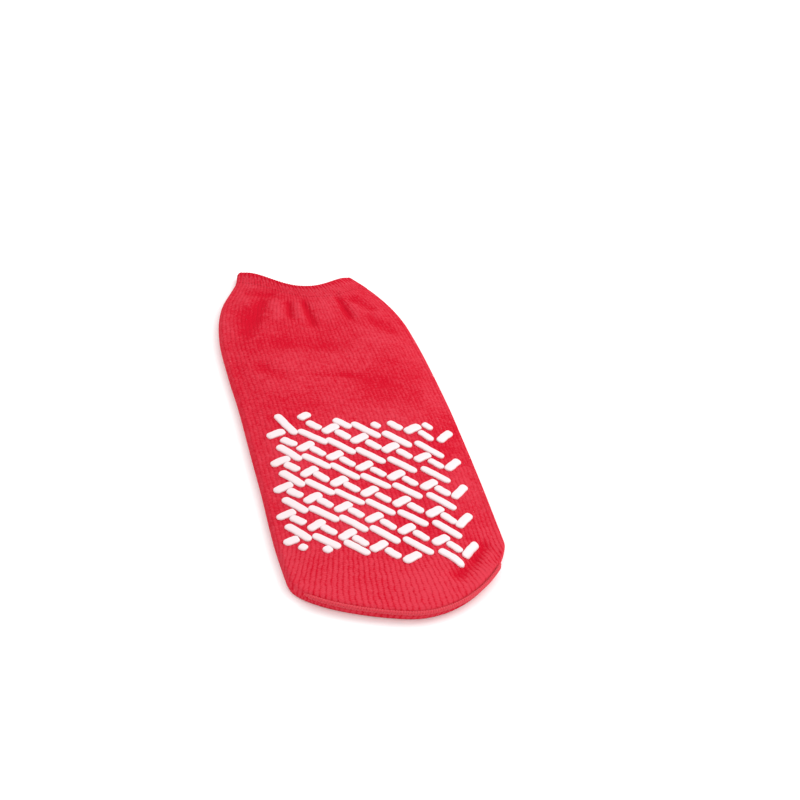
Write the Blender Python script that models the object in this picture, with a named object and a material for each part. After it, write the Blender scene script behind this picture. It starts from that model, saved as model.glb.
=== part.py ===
"""Slipper sock with a printed tread, lying empty and flat, sole side up.

Metres, +Z up. The toe points to -Y, and the cuff's mouth to +Y. Seen from above with the
toe down, +X is to the right. The sock rests on its instep layer, which is flat at z = 0,
and the sole layer with the tread is on top. The origin is under the middle of its box.

Two numbers name a place on the knit: `across` runs from -1 at the left fold to +1 at the
right one, and `along` from 0 at the mouth to 1 at the toe. A line of equal `along` is one
course of the knitting: straight across the leg, and bent round the toe as it nears it.
"""

import math

import bpy
import numpy as np

# Sizes of the sock as it lies

LENGTH = 0.264            # mouth corners to toe tip
WIDTH = 0.1035            # widest flat width, at the ball of the foot
HEIGHT = 0.0093           # floor to the highest point of the sole layer
WALL = 0.0018             # thickness of the terry knit
FOLD_SPACE = 0.0011       # inside radius of the side folds and of the toe
GAP = 0.0003              # clearance between pieces that touch on the real sock

# The cuff

WELT_LENGTH = 0.0100      # elastic welt, measured along the leg
WELT_WALL = 0.0018
SOLE_SIDE_DIP = 0.0172    # how far the mouth's edge falls at its lowest on the sole layer
INSTEP_SIDE_DIP = 0.0070  # and on the instep layer
DIP_LEAN = 0.06           # the lowest place lies this share of the half width to the right
DIP_POWER = 1.3           # how level the edge stays near the mouth's two corners
DIP_FADE = 0.36           # share of the length over which the courses straighten again
MOUTH_SKEW = 0.0012       # the left corner of the mouth stands higher than the right one

# The toe: how far each side fold ends short of the toe tip, and how its corner is rounded

LEFT_REACH = 0.026
LEFT_FULLNESS, LEFT_POINT = 1.6, 0.42
RIGHT_REACH = 0.051
RIGHT_FULLNESS, RIGHT_POINT = 1.9, 0.74
BEND_START = 0.45         # share of the length at which the courses start to bend
SEAM_RADIUS = 0.0009      # linked toe seam, a raised cord along the toe's upper edge
SEAM_ANGLE = 34.0         # degrees above the toe's edge at which the seam lies
SEAM_END = 0.88           # the seam stops at this share of each half of the toe
SEAM_TAPER = 0.5          # its ends narrow to this share of its thickness

# The folds and the thickness along the sock: shares of LENGTH, WIDTH, WIDTH, HEIGHT and
# FOLD_SPACE

SECTIONS = (
    # along,  left,   right, thickness, fold
    (0.000, -0.279,  0.258, 0.88, 0.40),
    (0.038, -0.301,  0.322, 0.88, 0.50),
    (0.070, -0.337,  0.365, 0.91, 0.70),
    (0.105, -0.381,  0.404, 0.94, 0.85),
    (0.150, -0.417,  0.439, 0.97, 1.00),
    (0.215, -0.443,  0.468, 0.99, 1.00),
    (0.320, -0.446,  0.500, 1.00, 1.00),
    (0.420, -0.436,  0.524, 1.00, 1.00),
    (0.560, -0.432,  0.547, 1.00, 1.00),
    (0.680, -0.428,  0.562, 1.00, 1.00),
    (0.800, -0.428,  0.574, 0.95, 1.00),
    (0.900, -0.413,  0.576, 0.83, 0.95),
    (0.960, -0.403,  0.570, 0.72, 0.90),
    (1.000, -0.393,  0.560, 0.62, 0.90),
)
CROWN_POWER = 5.0         # how flat the sole layer is across its middle
CROWN_SKIRT = 1.3         # how softly it runs out into the folds

# The printed tread, as drawn on a sole one unit long: the sock's LENGTH and WIDTH stretch the
# drawing, so the print keeps its place on the sole

PRINT_HEIGHT = 0.0010     # how far the print stands up
DRAWN_WIDTH = 0.392       # widest width of the drawn sole
FIRST_BAR = (-0.1031, -0.5133)   # middle of the long bar at column 0, row 0
COLUMN_STEP = (0.0402, -0.0269)  # from one column of bars to the next
COLUMN_GAIN = 0.00144     # the bars shift this much more to the right for each column squared
ROW_STEP = (-0.0061, -0.0716)    # from one row of bars to the next
ROW_FAN = (0.00042, -0.00049)    # the rows fan out this much for each column
BAR_COLUMNS = 6
FIRST_ROW, LAST_ROW = -2, 5
PRINT_TOP = (-0.1223, -0.475, -4.5)      # a point of the upper edge, and its turn in degrees
PRINT_BOTTOM = (-0.1509, -0.845, -9.3)   # the same for the lower edge
SHORTEST_BAR = 0.017      # what the edges leave shorter than this isn't printed
PRINT_LEAN = 0.33         # share of a stripe's half width by which its sides lean in

MARKS = {
    # name: offset from the column's long bar, turn in degrees, length, width
    "bar": (0.0, 0.0, -42.0, 0.0591, 0.0110),
    "first_bar": (0.0, 0.0, -54.0, 0.0576, 0.0110),
    "first_tick": (-0.0174, -0.0212, 20.0, 0.0356, 0.0136),
    "tick": (-0.0155, -0.0288, 27.0, 0.0379, 0.0136),
    "last_tick": (-0.0235, -0.0227, 52.0, 0.0545, 0.0129),
    "dash": (0.0049, -0.0455, -44.0, 0.0341, 0.0117),
}

# How finely the solids are faceted

NOSE_STEPS = 3            # facets in each quarter turn of a fold
CROWN_STEPS = 18          # facets across the flat of each layer
FOOT_ROWS = 32            # facets along the foot
WELT_ROWS = 3
SEAM_STEPS, SEAM_SIDES = 36, 6
BAR_FACET = 0.016         # longest facet along a bar of the drawn tread
LOCATE_ROUNDS = 40        # rounds of closing in on the place above a point of the plan
ROUND_END = (0.12, 0.45, 1.0)   # where a stripe's round end is cut, in its own radii
SHARP_ANGLE = 40.0        # degrees; flatter edges than this are shaded smooth
NEAR_SHARE = 1e-5         # step used to find the skin's slope
SAME_PLACE = 1e-9         # two places of the drawn tread this close are one

RED_TERRY = ("red_terry_knit", (0.80, 0.035, 0.065, 1.0), 0.92)
RED_RIB = ("red_elastic_rib", (0.74, 0.028, 0.055, 1.0), 0.88)
RED_THREAD = ("red_linking_thread", (0.66, 0.022, 0.045, 1.0), 0.85)
WHITE_PRINT = ("white_grip_print", (0.92, 0.89, 0.89, 1.0), 0.45)


# Curves read from the tables

def column(number):
    return np.array([row[number] for row in SECTIONS])


def smooth_curve(shares, values):
    """A smooth curve through the points: cubic pieces whose slope at each point is the mean
    of its neighbours' chords."""
    slopes = np.gradient(values, shares)

    def curve(share):
        share = np.clip(share, shares[0], shares[-1])
        piece = np.clip(np.searchsorted(shares, share, side="right") - 1, 0, len(shares) - 2)
        span = shares[piece + 1] - shares[piece]
        t = (share - shares[piece]) / span
        start, end = values[piece], values[piece + 1]
        return (start * (1 + 2 * t) * (1 - t) ** 2 + slopes[piece] * span * t * (1 - t) ** 2
                + end * t * t * (3 - 2 * t) - slopes[piece + 1] * span * t * t * (1 - t))

    return curve


left_share = smooth_curve(column(0), column(1))
right_share = smooth_curve(column(0), column(2))
thickness_share = smooth_curve(column(0), column(3))
fold_share = smooth_curve(column(0), column(4))


def fold_radius(along, inset=0.0):
    """Radius of the skin round the folds, or of the skin taken in by inset."""
    return WALL + FOLD_SPACE * fold_share(along) - inset


def ease(share):
    """0 up to 0, 1 from 1 on, and a smooth S between."""
    share = np.clip(share, 0.0, 1.0)
    return share * share * (3.0 - 2.0 * share)


def round_nose(depth, radius):
    """Height of a quarter circle, as a share of its radius, at this depth behind its tip."""
    open_part = 1.0 - np.clip(depth / radius, 0.0, 1.0)
    return np.sqrt(1.0 - open_part ** 2)


# The sock's surface

def plan_point(across, along, dip, inset):
    """Where a place on the knit lies on the floor plan, with the outline taken in by inset."""
    bend = ease((along - BEND_START) / (1.0 - BEND_START))
    run = (LENGTH - inset) * along
    left_end = (run - LEFT_REACH * bend) / LENGTH
    right_end = (run - RIGHT_REACH * bend) / LENGTH
    left = WIDTH * left_share(left_end) + inset
    right = WIDTH * right_share(right_end) - inset
    x = 0.5 * (left + right) + 0.5 * (right - left) * across

    size = np.clip(np.abs(across), 0.0, 1.0)
    left_fall = LEFT_REACH * (1.0 - (1.0 - size ** LEFT_FULLNESS) ** LEFT_POINT)
    right_fall = RIGHT_REACH * (1.0 - (1.0 - size ** RIGHT_FULLNESS) ** RIGHT_POINT)
    fall = np.where(across < 0.0, left_fall, right_fall)
    fade = 1.0 - ease(along / DIP_FADE)
    lean = across - DIP_LEAN * (1.0 - across ** 2)
    hollow = dip * np.clip(1.0 - lean ** 2, 0.0, 1.0) ** DIP_POWER
    y = -run + bend * fall - fade * (hollow + MOUTH_SKEW * across)
    return x, y, 0.5 * (right - left)


def layer_point(across, along, sole_side, inset=0.0):
    """A point of the sock's skin, or of the same skin taken in by inset.

    Each layer ends in a quarter circle at the folds and at the toe. Between them the instep
    layer is flat on the floor and the sole layer rises to its crown."""
    dip = SOLE_SIDE_DIP if sole_side else INSTEP_SIDE_DIP
    x, y, half_width = plan_point(across, along, dip, inset)
    radius = fold_radius(along, inset)
    nose = (round_nose((1.0 - np.abs(across)) * half_width, radius)
            * round_nose((1.0 - along) * (LENGTH - inset), radius))
    if sole_side:
        flat = 1.0 - radius / half_width
        crown = (1.0 - np.clip(np.abs(across) / flat, 0.0, 1.0) ** CROWN_POWER) ** CROWN_SKIRT
        rise = (HEIGHT * thickness_share(along) - 2.0 * fold_radius(along)) * crown
        z = inset + radius + nose * (radius + rise)
    else:
        z = inset + radius - nose * radius
    return np.stack([x, y, z], -1)


def across_samples(half_width, radius):
    """Places across one layer: even turns round each fold, and even steps between them."""
    turns = np.linspace(0.0, 0.5 * math.pi, NOSE_STEPS + 1)
    fold = 1.0 - (radius / half_width) * (1.0 - np.cos(turns))
    middle = np.linspace(-fold[-1], fold[-1], CROWN_STEPS + 1)
    return np.concatenate([-fold[:-1], middle, fold[-2::-1]])


def ring(along, inset):
    """One course round the sock: over the sole layer, then back under the instep layer."""
    half_width = plan_point(0.0, along, 0.0, inset)[2]
    across = across_samples(half_width, fold_radius(along, inset))
    over = layer_point(across, np.full_like(across, along), True, inset)
    under = layer_point(across, np.full_like(across, along), False, inset)
    return np.concatenate([over, under[-2:0:-1]])


# Meshes

def material(look):
    name, colour, roughness = look
    made = bpy.data.materials.get(name)
    if made is None:
        made = bpy.data.materials.new(name)
        made.use_nodes = True
        shader = made.node_tree.nodes["Principled BSDF"]
        shader.inputs["Base Color"].default_value = colour
        shader.inputs["Roughness"].default_value = roughness
        shader.inputs["Metallic"].default_value = 0.0
        made.diffuse_color = colour
    return made


def add_object(name, points, faces, look):
    mesh = bpy.data.meshes.new(name)
    mesh.from_pydata([tuple(point) for point in points], [], faces)
    mesh.shade_smooth()
    mesh.set_sharp_from_angle(angle=math.radians(SHARP_ANGLE))
    mesh.materials.append(material(look))
    made = bpy.data.objects.new(name, mesh)
    bpy.context.scene.collection.objects.link(made)
    return made


def band(first, second):
    """Four-sided faces between two closed rings of vertex numbers."""
    count = len(first)
    return [(second[k], second[(k + 1) % count], first[(k + 1) % count], first[k])
            for k in range(count)]


def tube_faces(rings):
    return [face for first, second in zip(rings, rings[1:]) for face in band(first, second)]


def numbered(rows):
    """Vertex numbers of rings that follow each other in one list of points."""
    starts = np.cumsum([0] + [len(row) for row in rows])
    return [list(range(start, start + len(row))) for start, row in zip(starts, rows)]


def knit_foot():
    """Leg, heel and foot, knitted in one: a hollow shell closed at the toe."""
    start = (WELT_LENGTH + GAP) / LENGTH
    turns = np.linspace(0.0, 0.5 * math.pi, NOSE_STEPS + 1)
    body = np.linspace(start, 1.0 - fold_radius(1.0) / LENGTH, FOOT_ROWS + 1)[:-1]
    skins = []
    for inset in (0.0, WALL):
        nose = fold_radius(1.0, inset) / (LENGTH - inset)
        places = np.concatenate([body, 1.0 - nose + nose * np.sin(turns)])
        skins.append([ring(place, inset) for place in places])
    outer, inner = skins
    rows = outer + inner
    numbers = numbered(rows)
    for last in (len(outer) - 1, len(rows) - 1):
        over = numbers[last][:CROWN_STEPS + 2 * NOSE_STEPS + 1]
        numbers[last] = over + over[-2:0:-1]
    faces = tube_faces(numbers[:len(outer)])
    faces += [face[::-1] for face in tube_faces(numbers[len(outer):])]
    faces += band(numbers[len(outer)], numbers[0])
    return add_closed("knit_foot", np.concatenate(rows), faces, RED_TERRY)


def elastic_welt():
    """The ribbed band round the mouth, as a ring cut from the same skin."""
    places = np.linspace(0.0, WELT_LENGTH / LENGTH, WELT_ROWS + 1)
    outer = [ring(place, 0.0) for place in places]
    inner = [ring(place, WELT_WALL) for place in places[::-1]]
    rows = outer + inner
    numbers = numbered(rows)
    faces = tube_faces(numbers + numbers[:1])
    return add_closed("elastic_welt", np.concatenate(rows), faces, RED_RIB)


def add_closed(name, points, faces, look):
    """Drop the points no face uses and the faces that have closed up to a line."""
    kept = []
    for face in faces:
        corners = [corner for k, corner in enumerate(face) if corner != face[k - 1]]
        if len(set(corners)) > 2:
            kept.append(corners)
    used = sorted({corner for face in kept for corner in face})
    place = {corner: k for k, corner in enumerate(used)}
    return add_object(name, points[used], [[place[c] for c in face] for face in kept], look)


def tube(name, sections, look):
    """A closed solid through equal rings of points, with a flat cap at each end."""
    numbers = numbered(sections)
    faces = tube_faces(numbers) + [numbers[0], numbers[-1][::-1]]
    return add_object(name, np.concatenate(sections), faces, look)


def toe_seam():
    """The linked seam: a cord that lies along the toe's upper edge, clear of the knit."""
    angle = math.radians(SEAM_ANGLE)
    along = 1.0 - fold_radius(1.0) * (1.0 - math.cos(angle)) / LENGTH
    across = SEAM_END * np.sin(np.linspace(-0.5 * math.pi, 0.5 * math.pi, SEAM_STEPS + 1))
    places = np.full_like(across, along)
    seat = layer_point(across, places, True)
    sideways = (layer_point(across + NEAR_SHARE, places, True)
                - layer_point(across - NEAR_SHARE, places, True))
    forward = (layer_point(across, places + NEAR_SHARE, True)
               - layer_point(across, places - NEAR_SHARE, True))
    outward = np.cross(forward, sideways)
    outward /= np.linalg.norm(outward, axis=1)[:, None]
    middle = seat + (GAP + SEAM_RADIUS) * outward
    side = np.cross(outward, sideways / np.linalg.norm(sideways, axis=1)[:, None])
    turns = np.linspace(0.0, 2.0 * math.pi, SEAM_SIDES, endpoint=False)
    sections = [middle[k] + SEAM_RADIUS * (np.outer(np.cos(turns), outward[k])
                                           + np.outer(np.sin(turns), side[k]))
                for k in range(len(middle))]
    for end in (0, -1):
        sections[end] = middle[end] + SEAM_TAPER * (sections[end] - middle[end])
    return tube("toe_seam", sections, RED_THREAD)


# The printed tread

def sole_height(x, y):
    """Height of the sole layer above a point of the floor plan, found by closing in on it."""
    along = -y / LENGTH
    across = np.zeros_like(x)
    for _ in range(LOCATE_ROUNDS):
        plan_x, plan_y, half_width = plan_point(across, along, SOLE_SIDE_DIP, 0.0)
        across = across + (x - plan_x) / half_width
        along = along + (plan_y - y) / LENGTH
    return layer_point(across, along, True)[..., 2]


def heading(degrees):
    return np.array([math.cos(math.radians(degrees)), math.sin(math.radians(degrees))])


def on_sole(drawn):
    """Points of the floor plan from points of the drawn print."""
    return drawn * np.array([WIDTH / DRAWN_WIDTH, LENGTH])


def column_place(number, row):
    """Middle of the long bar in this column and row of the drawn print."""
    return (np.array(FIRST_BAR) + number * np.array(COLUMN_STEP) + row * np.array(ROW_STEP)
            + np.array([number ** 2 * COLUMN_GAIN, 0.0]) + number * row * np.array(ROW_FAN))


def mark_ends(kind, number, row):
    shift_x, shift_y, turn, length, _ = MARKS[kind]
    middle = column_place(number, row) + np.array([shift_x, shift_y])
    return middle - 0.5 * length * heading(turn), middle + 0.5 * length * heading(turn)


def inside_print(point):
    """How far a point is inside the nearer of the print's two straight edges."""
    below_top = -np.cross(heading(PRINT_TOP[2]), point - PRINT_TOP[:2])
    above_bottom = np.cross(heading(PRINT_BOTTOM[2]), point - PRINT_BOTTOM[:2])
    return min(below_top, above_bottom)


def clipped_paths(points):
    """The stretches of a path that lie inside the print's edges."""
    paths, path = [], []
    for start, end in zip(points, points[1:]):
        a, b = inside_print(start), inside_print(end)
        if a >= 0.0 and not path:
            path = [start]
        if (a >= 0.0) != (b >= 0.0):
            path.append(start + (end - start) * a / (a - b))
            if a >= 0.0:
                paths.append(path)
                path = []
        if b >= 0.0:
            path.append(end)
    if path:
        paths.append(path)
    return [np.array(path) for path in paths if path_length(path) >= SHORTEST_BAR]


def path_length(points):
    return float(np.linalg.norm(np.diff(np.array(points), axis=0), axis=1).sum())


def ribbon(name, points, width):
    """A raised stripe of print along a drawn path, with leaning sides and round ends. Its
    underside follows the sole layer, a clearance above it."""
    steps = np.diff(points, axis=0)
    lengths = np.linalg.norm(steps, axis=1)
    ways = steps / lengths[:, None]
    corners = np.concatenate([[0.0], np.cumsum(lengths)])
    whole, radius = corners[-1], 0.5 * width
    round_end = radius * np.array(ROUND_END)
    cuts = [np.linspace(a, b, max(1, math.ceil((b - a) / BAR_FACET)) + 1)
            for a, b in zip(corners, corners[1:])]
    inner = [run for run in np.unique(np.concatenate(cuts)) if radius < run < whole - radius]
    runs = np.concatenate([round_end, inner, (whole - round_end)[::-1]])
    sections = []
    for run in runs:
        piece = min(int(np.searchsorted(corners, run, side="right")) - 1, len(ways) - 1)
        place = points[piece] + ways[piece] * (run - corners[piece])
        way = ways[piece]
        if piece > 0 and math.isclose(run, corners[piece], abs_tol=SAME_PLACE):
            way = way + ways[piece - 1]
            way = way / np.dot(way, ways[piece])
        reach = radius * math.sqrt(1.0 - max(0.0, 1.0 - min(run, whole - run) / radius) ** 2)
        sideways = np.array([-way[1], way[0]])
        top = reach * (1.0 - PRINT_LEAN)
        flat = on_sole(np.array([place + sideways * w for w in (-top, top, reach, -reach)]))
        lift = GAP + PRINT_HEIGHT * np.array([1.0, 1.0, 0.0, 0.0])
        sections.append(np.column_stack([flat, sole_height(flat[:, 0], flat[:, 1]) + lift]))
    return tube(name, sections, WHITE_PRINT)


def tread():
    """Rows of long slanted bars, and between them rows of short marks that run together
    into zigzags. The print's straight upper and lower edges cut across both."""
    for row in range(FIRST_ROW, LAST_ROW + 1):
        label = row - FIRST_ROW + 1
        for number in range(BAR_COLUMNS):
            kind = "bar" if number else "first_bar"
            for path in clipped_paths(mark_ends(kind, number, row)):
                ribbon(f"tread_bar_{label}_{number + 1}", path, MARKS[kind][4])
        zigzag = []
        for number in range(BAR_COLUMNS):
            tick = "tick" if number else "first_tick"
            zigzag += mark_ends(tick, number, row) + mark_ends("dash", number, row)
        zigzag += mark_ends("last_tick", BAR_COLUMNS, row)
        joints = ([zigzag[0]] + [0.5 * (a + b) for a, b in zip(zigzag[1:-1:2], zigzag[2:-1:2])]
                  + [zigzag[-1]])
        for part, path in enumerate(clipped_paths(joints)):
            ribbon(f"tread_zigzag_{label}_{part + 1}", path, MARKS["tick"][4])


def centre_on_origin():
    """Move every mesh so that the origin lies under the middle of the whole box."""
    meshes = [made.data for made in bpy.data.objects if made.type == "MESH"]
    corners = np.array([vertex.co[:] for mesh in meshes for vertex in mesh.vertices])
    low, high = corners.min(0), corners.max(0)
    shift = (-(low[0] + high[0]) / 2.0, -(low[1] + high[1]) / 2.0, -low[2])
    for mesh in meshes:
        for vertex in mesh.vertices:
            vertex.co = [place + move for place, move in zip(vertex.co, shift)]
        mesh.update()


def build():
    for old in list(bpy.data.objects):
        bpy.data.objects.remove(old, do_unlink=True)
    knit_foot()
    elastic_welt()
    toe_seam()
    tread()
    centre_on_origin()


build()
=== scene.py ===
# %% [markdown]
# # A slipper sock, pressed flat, with its printed sole up
#
# The real thing is a short terry sock knitted as a tube, closed at the toe by a linked seam
# and finished at the mouth by an elastic welt. Rows of white grip marks are printed on its
# sole. It lies empty on a pale floor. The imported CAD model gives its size, its wall and its
# place. This script gives it knitting, soft creases, rounded grip marks, colour and light.

import math

import bpy
import numpy as np
from mathutils import Matrix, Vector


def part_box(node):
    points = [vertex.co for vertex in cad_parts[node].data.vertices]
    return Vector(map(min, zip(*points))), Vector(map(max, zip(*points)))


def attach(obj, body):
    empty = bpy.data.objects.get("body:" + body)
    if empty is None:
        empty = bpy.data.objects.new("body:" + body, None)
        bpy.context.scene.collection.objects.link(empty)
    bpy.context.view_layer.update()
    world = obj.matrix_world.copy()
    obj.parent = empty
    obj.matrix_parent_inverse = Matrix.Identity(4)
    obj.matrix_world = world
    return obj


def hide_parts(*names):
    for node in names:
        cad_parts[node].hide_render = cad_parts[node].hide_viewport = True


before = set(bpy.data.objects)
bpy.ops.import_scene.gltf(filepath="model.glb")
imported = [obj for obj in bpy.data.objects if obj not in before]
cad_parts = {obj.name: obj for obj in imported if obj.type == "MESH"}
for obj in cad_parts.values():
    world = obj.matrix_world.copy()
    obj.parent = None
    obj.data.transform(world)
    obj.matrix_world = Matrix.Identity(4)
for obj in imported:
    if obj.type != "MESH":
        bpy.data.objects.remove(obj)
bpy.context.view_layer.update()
knit_low, knit_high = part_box("knit_foot")

# %% [markdown]
# ## The form of the flat sock
#
# Every piece of cloth here is one surface that is bent twice: round the side folds, and round
# the toe. So one function of two numbers can give all of it. `across` runs from -1 at the left
# fold to +1 at the right fold, and `along` from 0 at the mouth to 1 at the toe. The sizes and
# the short table of sections are those of the CAD model. A third number, `inset`, takes the
# skin in by that much, which makes the inner skin from the same function.

# %% Sizes and sections
LENGTH, WIDTH, HEIGHT = 0.264, 0.1035, 0.0093
WALL, FOLD_SPACE = 0.0018, 0.0011
WELT_LENGTH = 0.0100
SOLE_SIDE_DIP, INSTEP_SIDE_DIP = 0.0172, 0.0070
DIP_LEAN, DIP_POWER = 0.06, 1.3
DIP_FADE, MOUTH_SKEW = 0.36, 0.0012
CORNER_DROP, CORNER_POWER, CORNER_FADE = 0.0016, 14.0, 0.06   # the mouth's worn corners
LEFT_REACH, LEFT_FULLNESS, LEFT_POINT = 0.026, 1.6, 0.42
RIGHT_REACH, RIGHT_FULLNESS, RIGHT_POINT = 0.051, 1.9, 0.74
BEND_START = 0.45
CROWN_POWER, CROWN_SKIRT = 5.0, 1.3

SECTIONS = np.array((
    # along,  left,   right, thickness, fold: shares of LENGTH, WIDTH, WIDTH, HEIGHT, FOLD_SPACE
    (0.000, -0.279,  0.258, 0.88, 0.40),
    (0.038, -0.301,  0.322, 0.88, 0.50),
    (0.070, -0.337,  0.365, 0.91, 0.70),
    (0.105, -0.381,  0.404, 0.94, 0.85),
    (0.150, -0.417,  0.439, 0.97, 1.00),
    (0.215, -0.443,  0.468, 0.99, 1.00),
    (0.320, -0.446,  0.500, 1.00, 1.00),
    (0.420, -0.436,  0.524, 1.00, 1.00),
    (0.560, -0.432,  0.547, 1.00, 1.00),
    (0.680, -0.428,  0.562, 1.00, 1.00),
    (0.800, -0.428,  0.574, 0.95, 1.00),
    (0.900, -0.413,  0.576, 0.83, 0.95),
    (0.960, -0.403,  0.570, 0.72, 0.90),
    (1.000, -0.393,  0.560, 0.62, 0.90),
))


def smooth_curve(column):
    """Cubic pieces through a column of the table. The slope at each row is the mean of its
    neighbours' chords."""
    shares, values = SECTIONS[:, 0], SECTIONS[:, column]
    slopes = np.gradient(values, shares)

    def curve(share):
        share = np.clip(share, shares[0], shares[-1])
        piece = np.clip(np.searchsorted(shares, share, side="right") - 1, 0, len(shares) - 2)
        span = shares[piece + 1] - shares[piece]
        t = (share - shares[piece]) / span
        return (values[piece] * (1 + 2 * t) * (1 - t) ** 2
                + slopes[piece] * span * t * (1 - t) ** 2
                + values[piece + 1] * t * t * (3 - 2 * t)
                - slopes[piece + 1] * span * t * t * (1 - t))

    return curve


left_share, right_share, thickness_share, fold_share = (smooth_curve(c) for c in (1, 2, 3, 4))
print("widest place:", round(float(right_share(0.9) - left_share(0.9)) * WIDTH, 4), "m")


# %% The surface as a function of across, along and inset
def ease(share):
    """0 up to 0, 1 from 1 on, and between them the S curve 3t^2 - 2t^3."""
    share = np.clip(share, 0.0, 1.0)
    return share * share * (3.0 - 2.0 * share)


def fold_radius(along, inset=0.0):
    """Radius of the side fold: the wall and half the air in the fold, less the inset."""
    return WALL + FOLD_SPACE * fold_share(along) - inset


def round_nose(depth, radius):
    """Height of a quarter circle, as a share of its radius, at this depth behind its tip."""
    open_part = 1.0 - np.clip(depth / radius, 0.0, 1.0)
    return np.sqrt(1.0 - open_part ** 2)


def plan_point(across, along, dip, inset=0.0):
    """Place on the floor plan. x goes from fold to fold, and y back from the mouth by the run,
    plus the fall of the toe's curve, less the dip of the mouth's edge."""
    bend = ease((along - BEND_START) / (1.0 - BEND_START))
    run = (LENGTH - inset) * along
    left = WIDTH * left_share((run - LEFT_REACH * bend) / LENGTH) + inset
    right = WIDTH * right_share((run - RIGHT_REACH * bend) / LENGTH) - inset
    size = np.clip(np.abs(across), 0.0, 1.0)
    left_fall = LEFT_REACH * (1.0 - (1.0 - size ** LEFT_FULLNESS) ** LEFT_POINT)
    right_fall = RIGHT_REACH * (1.0 - (1.0 - size ** RIGHT_FULLNESS) ** RIGHT_POINT)
    fade = 1.0 - ease(along / DIP_FADE)
    lean = across - DIP_LEAN * (1.0 - across ** 2)
    hollow = dip * np.clip(1.0 - lean ** 2, 0.0, 1.0) ** DIP_POWER
    x = 0.5 * (left + right) + 0.5 * (right - left) * across
    y = (-run + bend * np.where(across < 0.0, left_fall, right_fall)
         - fade * (hollow + MOUTH_SKEW * across)
         - CORNER_DROP * (1.0 - ease(along / CORNER_FADE)) * size ** CORNER_POWER)
    return x, y, 0.5 * (right - left)


# The widest place to the right and the mouth's corners say where the drawing lies in the frame.
trial_across, trial_along = np.meshgrid(np.linspace(-1, 1, 41), np.linspace(0, 1, 401))
trial_x = plan_point(trial_across, trial_along, SOLE_SIDE_DIP)[0]
SHIFT = np.array([knit_high.x - trial_x.max(), knit_low.y + LENGTH, 0.0])


def layer_point(across, along, sole_side, inset=0.0):
    """A point of the skin in the frame's place. Each layer ends in a quarter circle at the
    folds and the toe. The instep layer is flat, and the sole layer rises to its crown."""
    dip = SOLE_SIDE_DIP if sole_side else INSTEP_SIDE_DIP
    x, y, half_width = plan_point(across, along, dip, inset)
    radius = fold_radius(along, inset)
    nose = (round_nose((1.0 - np.abs(across)) * half_width, radius)
            * round_nose((1.0 - along) * (LENGTH - inset), radius))
    if sole_side:
        flat = 1.0 - radius / half_width
        crown = (1.0 - np.clip(np.abs(across) / flat, 0.0, 1.0) ** CROWN_POWER) ** CROWN_SKIRT
        rise = (HEIGHT * thickness_share(along) - 2.0 * fold_radius(along)) * crown
        z = inset + radius + nose * (radius + rise)
    else:
        z = inset + radius - nose * radius
    return np.stack([x, y, z], -1) + SHIFT


print("shift of the drawing to the frame:", np.round(SHIFT, 4))

# %% [markdown]
# ## Creases
#
# Pressed cloth is never quite flat. The elastic gathers the leg into short pleats below the
# welt, the heel's pouch leaves slanting hollows, and the toe is tucked under at the right. Each
# crease is listed: a line on the sole, how wide it is, and how deep. Its section is a
# bell curve, and it fades at both ends. Wide, shallow waves are added for the rest. Both skins
# of the sole layer follow the creases, so that neither breaks through the other.

# %% Troughs and ridges, in millimetres on the sole
CREASES = (
    # from x, from y, to x, to y, half width, height (less than 0 is a trough)
    (-27.8, 105.0, -36.5,  79.0, 3.4, -1.25),
    (-16.2, 101.5, -17.5,  86.0, 1.6, -1.05),
    ( -8.6, 102.0,  -7.2,  80.0, 2.2, -1.25),
    (  8.2, 107.5,  12.2,  86.0, 2.1, -1.20),
    ( 13.5, 107.0,  25.0,  96.5, 4.0, -1.00),
    (-22.5, 100.0, -24.0,  84.0, 3.2,  0.50),
    (-12.3, 100.0, -12.0,  84.0, 2.2,  0.50),
    (  0.0, 102.0,   2.0,  84.0, 4.6,  0.50),
    ( 16.5, 102.0,  18.0,  84.0, 4.0,  0.45),
    (-39.0,  97.0, -41.0,  69.0, 4.8, -0.90),
    (-37.0, 110.0, -21.0, 106.5, 2.8, -0.85),
    ( 16.5,  89.5,  32.0,  77.5, 4.4, -0.75),
    (-32.0,  64.5,   1.0,  61.5, 5.4, -0.72),
    (-39.0,  47.0, -26.0,  36.0, 4.4, -0.95),
    (-23.0,  39.6,   9.0,  39.2, 1.5, -0.45),
    ( -6.0,  42.0,  25.0,  32.0, 4.0, -0.40),
    ( 32.0,  31.0,  33.0,  17.0, 4.5, -0.30),
    ( 23.5, -109.5, 37.5, -94.5, 3.6, -1.70),
    ( 35.5, -96.5,  44.0, -83.5, 2.8, -1.45),
    ( 33.0, -116.0, 47.0, -96.0, 3.6,  0.80),
    ( 43.5, -99.0,  49.0, -89.0, 1.8, -0.90),
)
WAVES = (
    # waves per metre across and along, phase in turns, height in millimetres
    (14.0,  9.0, 0.10, 0.16),
    (-9.0, 17.0, 0.35, 0.14),
    (27.0, -12.0, 0.60, 0.09),
    (-21.0, -31.0, 0.80, 0.07),
)
MM = 0.001
KEEP_SHARE, FADE_SHARE = 0.3, 0.22   # a crease is full this far from its middle, then it fades


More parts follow.
